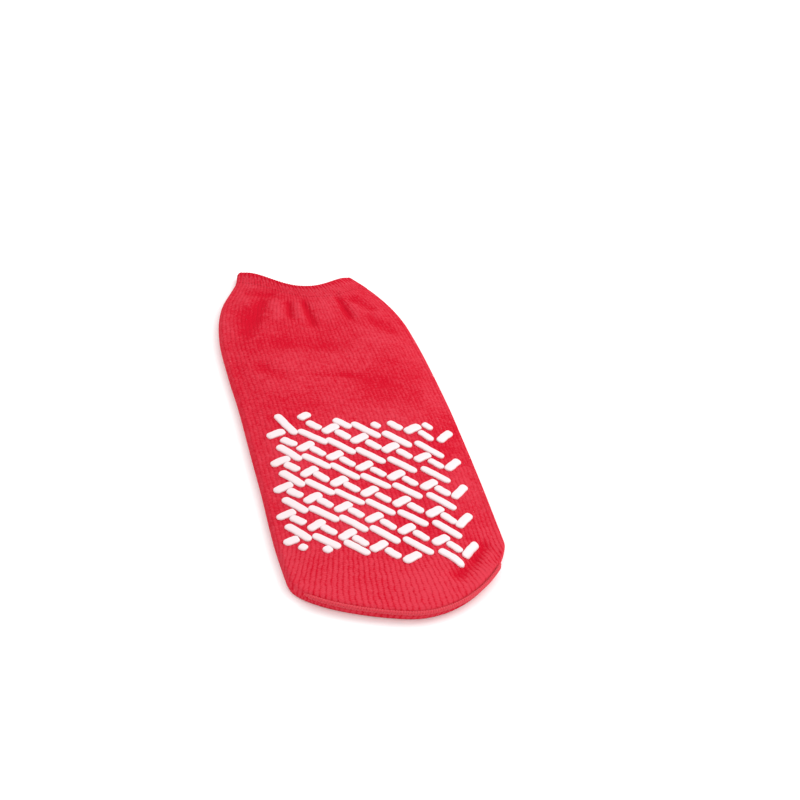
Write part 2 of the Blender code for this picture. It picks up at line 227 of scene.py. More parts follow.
def crease_height(x, y):
    """Sum of bell curves exp(-(d / w)^2) of the distance d to each crease's line, each faded
    over the outer part of its length, and of a few low waves."""
    height = np.zeros_like(x)
    for x0, y0, x1, y1, half, peak in CREASES:
        start, way = np.array([x0, y0]) * MM, np.array([x1 - x0, y1 - y0]) * MM
        long = np.hypot(*way)
        run = ((x - start[0]) * way[0] + (y - start[1]) * way[1]) / long
        side = ((x - start[0]) * way[1] - (y - start[1]) * way[0]) / long
        past = np.maximum(0.0, np.abs(run - 0.5 * long) - KEEP_SHARE * long)
        fade = (past / (FADE_SHARE * long)) ** 2
        height += peak * MM * np.exp(-(side / (half * MM)) ** 2 - fade)
    for waves_x, waves_y, phase, peak in WAVES:
        height += peak * MM * np.sin(2.0 * math.pi * (waves_x * x + waves_y * y + phase))
    return height


def crease_share(z):
    """How much of the creases a point at this height takes: none at the folds, all further up."""
    return np.clip((z - fold_radius(0.5)) / (0.5 * HEIGHT), 0.0, 1.0)


print(len(CREASES), "creases by hand and", len(WAVES), "low waves")

# %% [markdown]
# ## Mesh helpers
#
# A grid of points becomes a mesh in a few array steps: number the points, and join each four
# neighbours. Nothing loops over vertices. Each corner also gets a UV place that counts
# knitting: u is the number of the wale, and v the number of the course. The materials draw
# their stitches from that.

# %% From index grids to meshes
def quads_of(numbers, closed=False):
    """Four-sided faces of a grid of vertex numbers. closed joins its last column to the
    first. The corners go (row, column), (row, next), (next row, next), (next row, column)."""
    right = np.roll(numbers, -1, 1) if closed else numbers[:, 1:]
    left = numbers if closed else numbers[:, :-1]
    return np.stack([left[:-1], right[:-1], right[1:], left[1:]], -1).reshape(-1, 4)


def mesh_piece(name, points, quads, uv=None, caps=(), looks=(), look_of=None, creases=None):
    """A mesh object from points, quads, a UV pair for each quad corner, end caps, and the
    height of the creases at each point in millimetres."""
    mesh = bpy.data.meshes.new(name)
    corners = np.concatenate([quads.ravel()] + [np.asarray(cap) for cap in caps]).astype(np.int32)
    totals = np.concatenate([np.full(len(quads), 4), [len(cap) for cap in caps]]).astype(np.int32)
    starts = np.concatenate([[0], np.cumsum(totals)[:-1]]).astype(np.int32)
    mesh.vertices.add(len(points))
    mesh.vertices.foreach_set("co", np.asarray(points, np.float32).ravel())
    mesh.loops.add(len(corners))
    mesh.loops.foreach_set("vertex_index", corners)
    mesh.polygons.add(len(totals))
    mesh.polygons.foreach_set("loop_start", starts)
    mesh.polygons.foreach_set("loop_total", totals)
    if look_of is not None:
        mesh.polygons.foreach_set("material_index", np.asarray(look_of, np.int32))
    mesh.update(calc_edges=True)
    mesh.validate()
    if uv is not None:
        layer = mesh.uv_layers.new(name="stitches")
        flat = np.zeros((len(corners), 2), np.float32)
        flat[:4 * len(quads)] = uv.reshape(-1, 2)
        layer.data.foreach_set("uv", flat.ravel())
    if creases is not None:
        layer = mesh.attributes.new("crease_mm", "FLOAT", "POINT")
        layer.data.foreach_set("value", np.asarray(creases, np.float32))
    mesh.shade_smooth()
    for look in looks:
        mesh.materials.append(look)
    piece = bpy.data.objects.new(name, mesh)
    bpy.context.scene.collection.objects.link(piece)
    return piece


def unit(vectors):
    """Each vector divided by its own length."""
    return vectors / np.maximum(np.linalg.norm(vectors, axis=-1, keepdims=True), 1e-12)


def grid_normals(grid):
    """Unit normals of a closed ring grid (row, column, xyz), from neighbour differences. They
    point out of the cloth where its rows run to the mouth, and into it where they run to the
    toe."""
    down = np.gradient(grid, axis=0)
    over = np.roll(grid, -1, 1) - np.roll(grid, 1, 1)
    return unit(np.cross(over, down))


print("helpers ready")

# %% [markdown]
# ## Yarn and print: the finishes
#
# The outside is plain knitting: columns of small V-shaped stitches. A stitch is under 2 mm, so
# the columns are real ribs in the mesh, and the V shapes are bump. The nodes read the UV
# numbers: the fraction of u says how far a point is from the middle of its column, and v plus
# half of that distance slants each course into a V. Colour follows the same numbers, with painted
# shade in the grooves and the low parts of the stitches, and a slow random mottling. The height
# of the creases adds painted shade in their troughs and painted light on their ridges, and the
# welt's hem adds painted shade along its rim and painted highlights on a row of raised stitches.
# Sheen stands for the fuzz of the yarn. The print is a thick, slightly glossy white rubber.

# %% Node helpers
def new_look(name):
    """A material with nodes, its nodes and its links."""
    look = bpy.data.materials.new(name)
    look.use_nodes = True
    return look, look.node_tree.nodes, look.node_tree.links


def maths(tree, kind, *values):
    """A Math node. Each value is a number or another node's output."""
    node = tree.nodes.new("ShaderNodeMath")
    node.operation = kind
    for socket, value in zip(node.inputs, values):
        if isinstance(value, (int, float)):
            socket.default_value = value
        else:
            tree.links.new(value, socket)
    return node.outputs[0]


def noise(tree, place, scale, detail):
    """Noise from 0 to 1 with this many waves per metre."""
    node = tree.nodes.new("ShaderNodeTexNoise")
    node.inputs["Scale"].default_value = scale
    node.inputs["Detail"].default_value = detail
    tree.links.new(place, node.inputs["Vector"])
    return node.outputs["Fac"]


def blend_colours(tree, factor, first, second):
    """The first colour where the factor is 0, the second where it is 1."""
    node = tree.nodes.new("ShaderNodeMix")
    node.data_type = "RGBA"
    tree.links.new(factor, node.inputs["Factor"])
    node.inputs["A"].default_value = (*first, 1.0)
    node.inputs["B"].default_value = (*second, 1.0)
    return node.outputs["Result"]


def bump(tree, height, strength, distance):
    """A normal that leans as if the surface rose by height times distance."""
    node = tree.nodes.new("ShaderNodeBump")
    node.inputs["Strength"].default_value = strength
    node.inputs["Distance"].default_value = distance
    tree.links.new(height, node.inputs["Height"])
    return node.outputs["Normal"]


# %% Knit, terry, thread and print
# the red at its lightest, and the darkest red: the red of painted shade in grooves, stitches,
# creases and hollows, and of the darker mottling and specks
LIT_RED, SHADE_AND_MOTTLE_RED = (0.655, 0.041, 0.067), (0.565, 0.003, 0.019)
THREAD_RED = (0.760, 0.090, 0.120)
PRINT_WHITE, PRINT_SHADE = (0.83, 0.71, 0.720), (0.76, 0.60, 0.63)
FUZZ_SCALE, SPECK_SCALE, WANDER_SCALE, MOTTLE_SCALE = 2200.0, 900.0, 240.0, 38.0
HEM_RIM, HEM_ROW = (1.45, 0.90), (3.20, 0.60)    # middle and half width, in courses, of the painted shade along the rim and of the painted highlights on the raised row
HEM_STITCH = 0.67         # stitches of the hem to each wale
TOE_COURSE, TOE_COURSES = 158.4, 22.0   # the painted shade of the grooves deepens, and the tone changes, from this course on, over so many
COLUMN_WANDER = 0.8       # how far noise moves a column, in wales
COLUMN_POWER, GROOVE_SHADE_POWER = 2.6, 2.4   # the rise of a column, and how narrow the painted shade of its grooves is
COLUMN_BASE, FUZZ_HEIGHT = 0.8, 0.8
KNIT_BUMP, KNIT_RELIEF = 0.65, 0.00030
TOE_GROOVE_SHADE, TOE_TONE = 1.6, -0.42      # what the toe adds to the painted shade of its grooves, and to its tone
STITCH_SHADE = 0.20
MOTTLE_TONE, WANDER_TONE, CLOUD_TONE = 0.7, 0.9, -0.68
SPECK_TONE, SPECK_BASE = 1.7, -0.82
CREASE_SHADE, CREASE_SHADE_MOTTLE, FLAT_TONE = -0.35, -0.6, 0.16       # per millimetre of crease: painted shade in troughs and painted light on ridges, broken up by the mottling
# painted shade along the hem's rim, deepest in the notches between columns, and painted
# highlights on the row of raised stitches below it
NOTCH_SHADE, RIM_SHADE = -0.7, 0.55
RAISED_HIGHLIGHT, ROW_HIGHLIGHT = -0.6, -0.15
YARN_BUMP = 0.8
PRINT_WAVES, PRINT_TONE = 900.0, 0.55           # waves a metre, and how far they shade it
PRINT_BUMP, PRINT_RELIEF = 0.30, 0.00025


def bell(tree, value, middle, half):
    """The bell curve exp(-((value - middle) / half)^2)."""
    away = maths(tree, "MULTIPLY_ADD", value, 1.0 / half, -middle / half)
    squared = maths(tree, "MULTIPLY", away, away)
    return maths(tree, "EXPONENT", maths(tree, "MULTIPLY", squared, -1.0))


def knit_look(name, groove_shade_depth, stitch_depth, hem=0.0):
    """Columns of V stitches: p is the distance from the column's middle, 0 to 1, and a stitch
    is the wave sin(2 pi (v + p / 2)), which slants up on one side and down on the other. Painted
    shade in the grooves and the low parts of the stitches, loose threads, mottling, and painted
    shade in the creases' troughs with painted light on their ridges deepen or lighten the red. A
    hem adds painted shade along its rim, deepest in notches between the columns, and painted
    highlights on a row of raised stitches below it."""
    look, nodes, links = new_look(name)
    tree = look.node_tree
    shader = nodes["Principled BSDF"]
    uv = nodes.new("ShaderNodeUVMap")
    uv.uv_map = "stitches"
    split = nodes.new("ShaderNodeSeparateXYZ")
    links.new(uv.outputs["UV"], split.inputs[0])
    place = nodes.new("ShaderNodeTexCoord").outputs["Object"]
    crease = nodes.new("ShaderNodeAttribute")
    crease.attribute_name = "crease_mm"

    wander = noise(tree, place, WANDER_SCALE, 2.0)
    moved = maths(tree, "MULTIPLY_ADD", wander, COLUMN_WANDER, split.outputs["X"])
    part = maths(tree, "FRACT", moved)
    p = maths(tree, "MULTIPLY", maths(tree, "ABSOLUTE", maths(tree, "SUBTRACT", part, 0.5)), 2.0)
    slant = maths(tree, "MULTIPLY_ADD", p, 0.5, split.outputs["Y"])
    wave = maths(tree, "SINE", maths(tree, "MULTIPLY", slant, 2.0 * math.pi))
    stitch = maths(tree, "MULTIPLY_ADD", wave, 0.5, 0.5)
    column = maths(tree, "SUBTRACT", 1.0, maths(tree, "POWER", p, COLUMN_POWER))
    fuzz = noise(tree, place, FUZZ_SCALE, 2.0)
    speck = noise(tree, place, SPECK_SCALE, 2.0)
    raised = maths(tree, "MULTIPLY_ADD", stitch, stitch_depth, COLUMN_BASE)
    shape = maths(tree, "MULTIPLY", column, raised)
    height = maths(tree, "ADD", shape, maths(tree, "MULTIPLY_ADD", fuzz, FUZZ_HEIGHT, speck))
    links.new(bump(tree, height, KNIT_BUMP, KNIT_RELIEF), shader.inputs["Normal"])

    mottle = noise(tree, place, MOTTLE_SCALE, 3.0)
    toe = maths(tree, "MULTIPLY_ADD", split.outputs["Y"], 1.0 / TOE_COURSES,
                -TOE_COURSE / TOE_COURSES)
    toe = maths(tree, "MINIMUM", maths(tree, "MAXIMUM", toe, 0.0), 1.0)
    # painted shade in the grooves between columns, deeper towards the toe
    groove_shade = maths(tree, "MULTIPLY", maths(tree, "POWER", p, GROOVE_SHADE_POWER),
                   maths(tree, "MULTIPLY_ADD", toe, TOE_GROOVE_SHADE * groove_shade_depth, groove_shade_depth))
    # painted shade in the low parts of each V stitch
    course = maths(tree, "MULTIPLY", maths(tree, "SUBTRACT", 1.0, stitch), STITCH_SHADE)
    cloud = maths(tree, "MULTIPLY_ADD", mottle, MOTTLE_TONE,
                  maths(tree, "MULTIPLY_ADD", wander, WANDER_TONE, CLOUD_TONE))
    slow = maths(tree, "MULTIPLY_ADD", toe, TOE_TONE, cloud)
    fine = maths(tree, "MULTIPLY_ADD", speck, SPECK_TONE, SPECK_BASE)
    # painted shade in the creases' troughs and painted light on their ridges, broken up by the
    # mottling
    crease_shade_rate = maths(tree, "MULTIPLY_ADD", mottle, CREASE_SHADE_MOTTLE, CREASE_SHADE)
    crease_painted_shade = maths(tree, "MULTIPLY_ADD", crease.outputs["Fac"], crease_shade_rate, FLAT_TONE)
    depth = maths(tree, "ADD", maths(tree, "ADD", groove_shade, course), maths(tree, "ADD", slow, fine))
    depth = maths(tree, "ADD", depth, crease_painted_shade)
    if hem:
        course_number = split.outputs["Y"]
        turn = maths(tree, "MULTIPLY", split.outputs["X"], 2.0 * math.pi * HEM_STITCH)
        dots = maths(tree, "SINE", turn)
        # painted shade along the rim, deepest in the notches between columns
        notch_shade = maths(tree, "MULTIPLY_ADD", dots, NOTCH_SHADE, RIM_SHADE)
        rim_shade = maths(tree, "MULTIPLY", bell(tree, course_number, *HEM_RIM), notch_shade)
        # painted highlights on the raised stitches of the row below the rim
        row = maths(tree, "MULTIPLY", bell(tree, course_number, *HEM_ROW),
                    maths(tree, "MULTIPLY_ADD", dots, RAISED_HIGHLIGHT, ROW_HIGHLIGHT))
        depth = maths(tree, "MULTIPLY_ADD", maths(tree, "ADD", rim_shade, row), hem, depth)
    clamp = maths(tree, "MINIMUM", maths(tree, "MAXIMUM", depth, 0.0), 1.0)
    links.new(blend_colours(tree, clamp, LIT_RED, SHADE_AND_MOTTLE_RED), shader.inputs["Base Color"])
    shader.inputs["Roughness"].default_value = 0.95
    shader.inputs["Specular IOR Level"].default_value = 0.05
    shader.inputs["Sheen Weight"].default_value = 0.03
    shader.inputs["Sheen Roughness"].default_value = 0.5
    shader.inputs["Sheen Tint"].default_value = (1.0, 0.45, 0.50, 1.0)
    return look


def yarn_look(name, colour, grain, depth):
    """Loose yarn: bump, and painted shade, a deeper red, in the hollows of a fine noise."""
    look, nodes, links = new_look(name)
    tree = look.node_tree
    shader = nodes["Principled BSDF"]
    place = nodes.new("ShaderNodeTexCoord").outputs["Object"]
    loops = noise(tree, place, grain, 3.0)
    links.new(bump(tree, loops, YARN_BUMP, depth), shader.inputs["Normal"])
    # painted shade: deeper red in the hollows of the bump noise
    links.new(blend_colours(tree, loops, SHADE_AND_MOTTLE_RED, colour), shader.inputs["Base Color"])
    shader.inputs["Roughness"].default_value = 0.95
    shader.inputs["Specular IOR Level"].default_value = 0.2
    shader.inputs["Sheen Weight"].default_value = 0.25
    shader.inputs["Sheen Tint"].default_value = (1.0, 0.55, 0.60, 1.0)
    return look


def print_look():
    """Thick white print: faint waves in its skin and a slightly shaded tone in them."""
    look, nodes, links = new_look("white_grip_print_skin")
    tree = look.node_tree
    shader = nodes["Principled BSDF"]
    place = nodes.new("ShaderNodeTexCoord").outputs["Object"]
    waves = noise(tree, place, PRINT_WAVES, 2.0)
    links.new(bump(tree, waves, PRINT_BUMP, PRINT_RELIEF), shader.inputs["Normal"])
    tone = maths(tree, "MULTIPLY", waves, PRINT_TONE)
    links.new(blend_colours(tree, tone, PRINT_WHITE, PRINT_SHADE), shader.inputs["Base Color"])
    shader.inputs["Roughness"].default_value = 0.42
    shader.inputs["Coat Weight"].default_value = 0.08
    shader.inputs["Coat Roughness"].default_value = 0.35
    return look


knit_outside = knit_look("red_knit_outside", groove_shade_depth=0.34, stitch_depth=0.60)
rib_outside = knit_look("red_rib_outside", groove_shade_depth=0.38, stitch_depth=0.60, hem=1.3)
terry_inside = yarn_look("red_terry_inside", LIT_RED, grain=1400.0, depth=0.0006)
thread_look = yarn_look("red_linking_yarn", THREAD_RED, grain=2600.0, depth=0.0002)
white_print = print_look()
print(len(bpy.data.materials), "materials")

# %% [markdown]
# ## The knitted tube
#
# Leg, heel, foot and toe are knitted in one, so they are one mesh: rings of points from the
# welt to the toe, first over the outside, then back over the inside. A ring goes over the sole
# layer and back under the instep layer. The last ring of each skin closes onto itself, which
# shuts the toe without a pole. The columns of stitches are shallow relief along the normal.

# %% Rings round the sock
WALES = 53                # columns of stitches on each layer
WALE_SAMPLES = 5          # points across each column
NOSE_SAMPLES = 7          # points round a quarter of a fold
FLAT_SAMPLES = WALES * WALE_SAMPLES
WALE_DEPTH = 0.00017
RIB_POWER, RIB_MIDDLE = 2.4, 0.4     # a rib's section, and what part of it sinks in
TOE_FAN = 0.34            # the wales spread by this share at the toe
FAN_START, FAN_RUN = -0.082, 0.048   # from this y on, and over this length
TUCKS = (
    # rows that tuck the tube's mouth into the welt's wall: how far in, and their inset
    (0.0014, 0.0008),
    (0.0006, 0.00006),
)
EDGE_ROW = 0.00005        # one more row this close to the welt's end keeps its edge crisp
COURSE = 0.00135          # height of one course of stitches
FLOOR_GAP = 0.00002       # the ribs below are pressed flat, this high


def across_samples(half_width, radius):
    """Places across one layer: even turns round each fold, even steps between them."""
    turns = np.linspace(0.0, 0.5 * math.pi, NOSE_SAMPLES + 1)
    fold = 1.0 - (radius / half_width) * (1.0 - np.cos(turns))
    middle = np.linspace(-fold[-1], fold[-1], FLAT_SAMPLES + 1)
    return np.concatenate([-fold[:-1], middle, fold[-2::-1]])


def ring(along, inset):
    """Points of one course round the sock, and the number of the wale at each of them. Wales
    are counted by the way walked over the layer, and they fan out below the fold at the toe."""
    half_width = plan_point(0.0, along, 0.0, inset)[2]
    radius = fold_radius(along, inset)
    across = across_samples(half_width, radius)
    over = layer_point(across, np.full_like(across, along), True, inset)
    under = layer_point(across, np.full_like(across, along), False, inset)
    bend = np.linspace(0.0, 0.5 * math.pi * radius, NOSE_SAMPLES + 1)
    flat = np.linspace(0.0, 2.0 * (half_width - radius), FLAT_SAMPLES + 1)
    walk = np.concatenate([bend[:-1], bend[-1] + flat,
                           bend[-1] + flat[-1] + np.cumsum(np.full(NOSE_SAMPLES, bend[1]))])
    spread = 1.0 + TOE_FAN * ease((FAN_START - over[:, 1]) / FAN_RUN)
    count = WALES * (0.5 + (walk / walk[-1] - 0.5) / spread)
    return np.concatenate([over, under[-2:0:-1]]), np.concatenate([count, WALES + count[1:-1]])


def rib_profile(wale):
    """1 on the middle of a column and 0 in the groove between two: 1 - p^RIB_POWER."""
    p = np.abs(wale - np.floor(wale) - 0.5) * 2.0
    return 1.0 - p ** RIB_POWER


def skin(places, insets):
    """Rings at these places along the foot, as a grid of points and one of wale numbers."""
    insets = np.broadcast_to(insets, len(places))
    rows = [ring(place, inset) for place, inset in zip(places, insets)]
    return np.stack([points for points, _ in rows]), np.stack([wales for _, wales in rows])


def relief(grid, wales, depths):
    """Relief along the grid's normals, as deep as each row's depth says, and creases straight
    up on the sole layer. The columns of the welt stand out. Those of the tube, whose rows run
    to the toe, are pressed in a little, and the lines between them stand out."""
    over = np.arange(grid.shape[1]) < grid.shape[1] // 2 + 1
    ribs = depths[:, None] * (rib_profile(wales) - RIB_MIDDLE)
    creases = crease_share(grid[..., 2]) * over * crease_height(grid[..., 0], grid[..., 1])
    moved = grid + grid_normals(grid) * ribs[..., None]
    moved[..., 2] = np.maximum(moved[..., 2] + creases, FLOOR_GAP)
    return moved, creases / MM


print("one ring has", len(ring(0.5, 0.0)[0]), "points")

# %% The tube as one closed mesh
ROW_ENDS = ((0.0, 0.14, 34), (0.14, 0.80, 66), (0.80, 1.0, 40))   # along from, to, and rows
NOSE_ROWS = 6
INNER_ROWS = 26
TOE_FADE = 1.5            # the ribs fade this many fold radii from the toe's tip

welt_share = WELT_LENGTH / LENGTH
toe_share = 1.0 - fold_radius(1.0) / LENGTH
steps = np.concatenate([np.linspace(a, b, n, endpoint=False) for a, b, n in ROW_ENDS] + [[1.0]])
body = welt_share + (toe_share - welt_share) * steps
turns = np.linspace(0.0, 0.5 * math.pi, NOSE_ROWS + 1)[1:]
tucks = np.array(TUCKS)
outer_places = np.concatenate([(WELT_LENGTH - tucks[:, 0]) / LENGTH, body,
                               toe_share + (1.0 - toe_share) * np.sin(turns)])
outer_insets = np.concatenate([tucks[:, 1], np.zeros(len(outer_places) - len(tucks))])
inner_nose = fold_radius(1.0, WALL) / (LENGTH - WALL)
inner_body = np.linspace(welt_share - tucks[0, 0] / LENGTH, 1.0 - inner_nose, INNER_ROWS)
inner_places = np.concatenate([inner_body, 1.0 - inner_nose + inner_nose * np.sin(turns[1::2])])

outer, outer_wales = skin(outer_places, outer_insets)
inner, inner_wales = skin(inner_places, WALL)
toe_fade = ease((1.0 - outer_places) * LENGTH / (TOE_FADE * fold_radius(1.0)))
outer, outer_creases = relief(outer, outer_wales, WALE_DEPTH * toe_fade)
inner, _ = relief(inner, inner_wales, np.zeros(len(inner)))

rows, width = len(outer), outer.shape[1]
numbers = np.arange((rows + len(inner)) * width).reshape(-1, width)
mirrored = np.minimum(np.arange(width), width - np.arange(width))
for last in (rows - 1, len(numbers) - 1):
    numbers[last] = numbers[last, 0] + mirrored
outside = quads_of(numbers[:rows], closed=True)
inside = quads_of(numbers[rows:], closed=True)[:, ::-1]
mouth = quads_of(numbers[[rows, 0]], closed=True)


def stitch_uv(wales, runs):
    """UV at each corner of a closed grid: wale number, and course number along the foot."""
    next_wales = np.concatenate([wales[:, 1:], np.full((len(wales), 1), 2.0 * WALES)], 1)
    course = np.broadcast_to((runs / COURSE)[:, None], wales.shape)
    left, right = np.stack([wales, course], -1), np.stack([next_wales, course], -1)
    return np.stack([left[:-1], right[:-1], right[1:], left[1:]], 2).reshape(-1, 4, 2)


uv = np.concatenate([stitch_uv(outer_wales, outer_places * LENGTH),
                     stitch_uv(inner_wales, inner_places * LENGTH)[:, ::-1],
                     np.zeros((len(mouth), 4, 2))])
quads = np.concatenate([outside, inside, mouth])
look_of = np.concatenate([np.zeros(len(outside)), np.ones(len(inside) + len(mouth))])
used, quads = np.unique(quads, return_inverse=True)
points = np.concatenate([outer.reshape(-1, 3), inner.reshape(-1, 3)])[used]
creases = np.concatenate([outer_creases.ravel(), np.zeros(inner.size // 3)])[used]
knit_tube = mesh_piece("knit_tube", points, quads.reshape(-1, 4), uv, creases=creases,
                       looks=(knit_outside, terry_inside), look_of=look_of)
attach(knit_tube, "root")
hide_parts("knit_foot")
print("knit tube:", 2 * len(look_of), "triangles")

# %% [markdown]
# ## The elastic welt
#
# The band round the mouth is a hem turned over elastic. The wales of the leg run on through it
# and stand out as ribs at its edge, where the elastic gathers them. Its section is a long loop:
# down the outside, round a soft lip at the edge, and back up the inside. The loop is carried
# round the mouth by the same ring function, with the inset following the section.

# %% The welt as a loop carried round the mouth
LIP = 0.5 * WALL
RIB_DEPTH = 0.00028
RIB_RUN = 0.8             # the ribs grow over this share of the welt
LIP_SAMPLES = 8
WELT_ROWS = 14

lip_turns = np.linspace(0.0, math.pi, LIP_SAMPLES + 1)
down = np.insert(np.linspace(WELT_LENGTH, LIP, WELT_ROWS)[:-1], 1, WELT_LENGTH - EDGE_ROW)
section_run = np.concatenate([down, LIP - LIP * np.sin(lip_turns), down[::-1]])
section_inset = np.concatenate([np.zeros(WELT_ROWS), LIP - LIP * np.cos(lip_turns),
                                np.full(WELT_ROWS, WALL)])
welt, rib_count = skin(section_run / LENGTH, section_inset)
edge_fade = 1.0 - ease((section_run - 2.0 * LIP) / (RIB_RUN * WELT_LENGTH))
welt, welt_creases = relief(welt, rib_count, WALE_DEPTH + (RIB_DEPTH - WALE_DEPTH) * edge_fade)
welt_loop = np.append(np.arange(len(welt)), 0)
ring_numbers = np.arange(welt.shape[0] * welt.shape[1]).reshape(welt.shape[:2])
welt_quads = quads_of(ring_numbers[welt_loop], closed=True)[:, ::-1]
welt_uv = stitch_uv(rib_count[welt_loop], section_run[welt_loop])
cuff_welt = mesh_piece("cuff_welt", welt.reshape(-1, 3), welt_quads, welt_uv[:, ::-1],
                       looks=(rib_outside,), creases=welt_creases.ravel())
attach(cuff_welt, "root")
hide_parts("elastic_welt")
print("welt:", 2 * len(welt_quads), "triangles")

# %% [markdown]
# ## The linked toe seam
#
# The toe is closed loop by loop, which leaves a raised chain along the toe's upper edge, with
# nearly two small links to a wale. Two strands that wind round each other look just so.
# Each is a tube: rings of points carried along a path that circles the seam's own line.

# %% Two strands round the toe's edge
SEAM_RADIUS, CLEARANCE = 0.0009, 0.0003         # of the CAD model's seam
SEAM_ANGLE = 34.0         # degrees from the toe's upper side round its edge
SEAM_END = 0.88           # share of the half width that the seam reaches to
STRAND, STRAND_SWING = 0.00050, 0.00046         # radius, and radius of the winding
LINKS, LINK_STEPS, STRAND_SIDES = 90, 8, 9
SEAM_STEPS = LINKS * LINK_STEPS
BEAD = 0.35               # how much a strand swells where it lies outermost
SETTLE = 0.00042          # how far the chain has sunk into the fuzz of the knit
TIP, TIP_RUN = 0.4, 4.0   # share of its size at its tips, and their length in seam radii
NEAR = 1e-5               # step for the slopes of the surface


def tube(name, path, radius, sides, look):
    """Rings of a given radius round a path, square to it, closed by a cap at each end."""
    way = unit(np.gradient(path, axis=0))
    side = unit(np.cross(way, np.array([0.0, 0.0, 1.0])))
    up = np.cross(side, way)
    angle = np.linspace(0.0, 2.0 * math.pi, sides, endpoint=False)[None, :, None]
    wide = np.broadcast_to(radius, len(path))[:, None, None]
    rings = path[:, None] + wide * (np.cos(angle) * side[:, None] + np.sin(angle) * up[:, None])
    index = np.arange(rings.shape[0] * sides).reshape(-1, sides)
    return mesh_piece(name, rings.reshape(-1, 3), quads_of(index, closed=True)[:, ::-1],
                      caps=(index[0], index[-1][::-1]), looks=(look,))


seam_angle = math.radians(SEAM_ANGLE)
seam_along = 1.0 - fold_radius(1.0) * (1.0 - math.cos(seam_angle)) / LENGTH
seam_across = SEAM_END * np.sin(np.linspace(-0.5 * math.pi, 0.5 * math.pi, SEAM_STEPS + 1))
seam_places = np.full_like(seam_across, seam_along)
seat = layer_point(seam_across, seam_places, True)
sideways = unit(layer_point(seam_across + NEAR, seam_places, True) - seat)
forward = unit(layer_point(seam_across, seam_places + NEAR, True) - seat)
outward = unit(np.cross(forward, sideways))
seam_line = seat + (CLEARANCE + SEAM_RADIUS) * outward
walked = np.concatenate([[0.0], np.cumsum(np.linalg.norm(np.diff(seam_line, axis=0), axis=1))])
wind = math.pi * LINKS * walked / walked[-1]
to_tip = np.minimum(walked, walked[-1] - walked)
taper = ease(to_tip / (TIP_RUN * SEAM_RADIUS)) * (1.0 - TIP) + TIP
for number, start in enumerate((0.0, math.pi)):
    swing = (np.cos(wind + start)[:, None] * forward + np.sin(wind + start)[:, None] * outward)
    path = seam_line + STRAND_SWING * taper[:, None] * swing - SETTLE * outward
    radius = STRAND * taper * (1.0 + BEAD * np.sin(wind + start))
    strand = tube(f"toe_seam_strand_{number + 1}", path, radius, STRAND_SIDES, thread_look)
    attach(strand, "root")
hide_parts("toe_seam")
print("toe seam:", round(float(walked[-1]), 4), "m of chain in", LINKS, "links")

# %% [markdown]
# ## The printed grip
#
# The print is squeezed through a screen, so every mark is a low pillow with soft shoulders and
# blunt ends. Rows of long slanted bars alternate with rows of short marks that lean left and
# right in turn. The print's upper and lower edges leave out some marks and cut others short, and
# hollows in the cloth carry a few of them along. So short tables say what each row prints, which
# marks are cut and which are shifted. Each mark is a rounded outline on the plan, set on the
# cloth with a short table of shoulders.

# %% Where the marks lie
FIRST_BAR = np.array([-0.0272, -0.1355])
COLUMN_STEP = np.array([0.0106, -0.0071])
COLUMN_GAIN = np.array([0.00038, 0.00002])     # for each column squared
ROW_STEP = np.array([-0.00156, -0.01892])
ROW_FAN = np.array([0.00011, -0.00013])        # for each column of each row
FIRST_ROW = -2

MARKS = {
    # turn in degrees, length, width
    "bar": (-42.0, 0.0158, 0.0040),
    "first_bar": (-54.0, 0.0152, 0.0040),
    "corner_bar": (-65.0, 0.0180, 0.0038),
    "first_tick": (22.0, 0.0092, 0.0044),
    "tick": (36.0, 0.0099, 0.0043),
    "last_tick": (52.0, 0.0128, 0.0039),
    "dash": (-46.0, 0.0083, 0.0040),
}
LAST_TICK = 6             # the column whose ticks have a shape of their own
PLACES = {
    # for each column, the offset from the place of its long bar, in millimetres
    "bar": ((0.0, 0.0),) * 6,
    "tick": ((-4.7, -5.5), (-4.4, -7.6), (-3.9, -7.4), (-4.1, -7.8), (-4.2, -7.8),
             (-4.5, -7.7), (-6.9, -5.6)),
    "dash": ((-0.4, -10.6), (0.5, -11.4), (1.1, -11.7), (1.4, -12.3), (1.4, -12.2),
             (1.0, -12.0)),
}
ROWS = (
    # row, then the first and last column that is printed of its bars, ticks and dashes
    (-2, 5, 5, 5, 6, 3, 5),
    (-1, 2, 5, 1, 6, 1, 5),
    (0, 0, 5, 0, 6, 0, 5),
    (1, 0, 5, 0, 6, 0, 5),
    (2, 0, 5, 0, 6, 0, 5),
    (3, 0, 5, 0, 4, 0, 3),
    (4, 0, 2, 0, 1, 0, 0),
)
CUTS = {
    # row, kind, column: the stretch of the mark that the print's edge leaves, 0 to 1
    (-2, "bar", 5): (0.46, 0.80),
    (-2, "dash", 3): (0.40, 1.0),
    (-1, "bar", 2): (0.38, 1.0),
    (-1, "tick", 1): (0.30, 1.0),
    (3, "bar", 5): (0.0, 0.88),
    (4, "tick", 0): (0.22, 1.0),
    (4, "tick", 1): (0.62, 1.0),
    (4, "dash", 0): (0.15, 0.60),
    (4, "bar", 1): (0.02, 0.94),
    (4, "bar", 2): (0.00, 0.84),
}
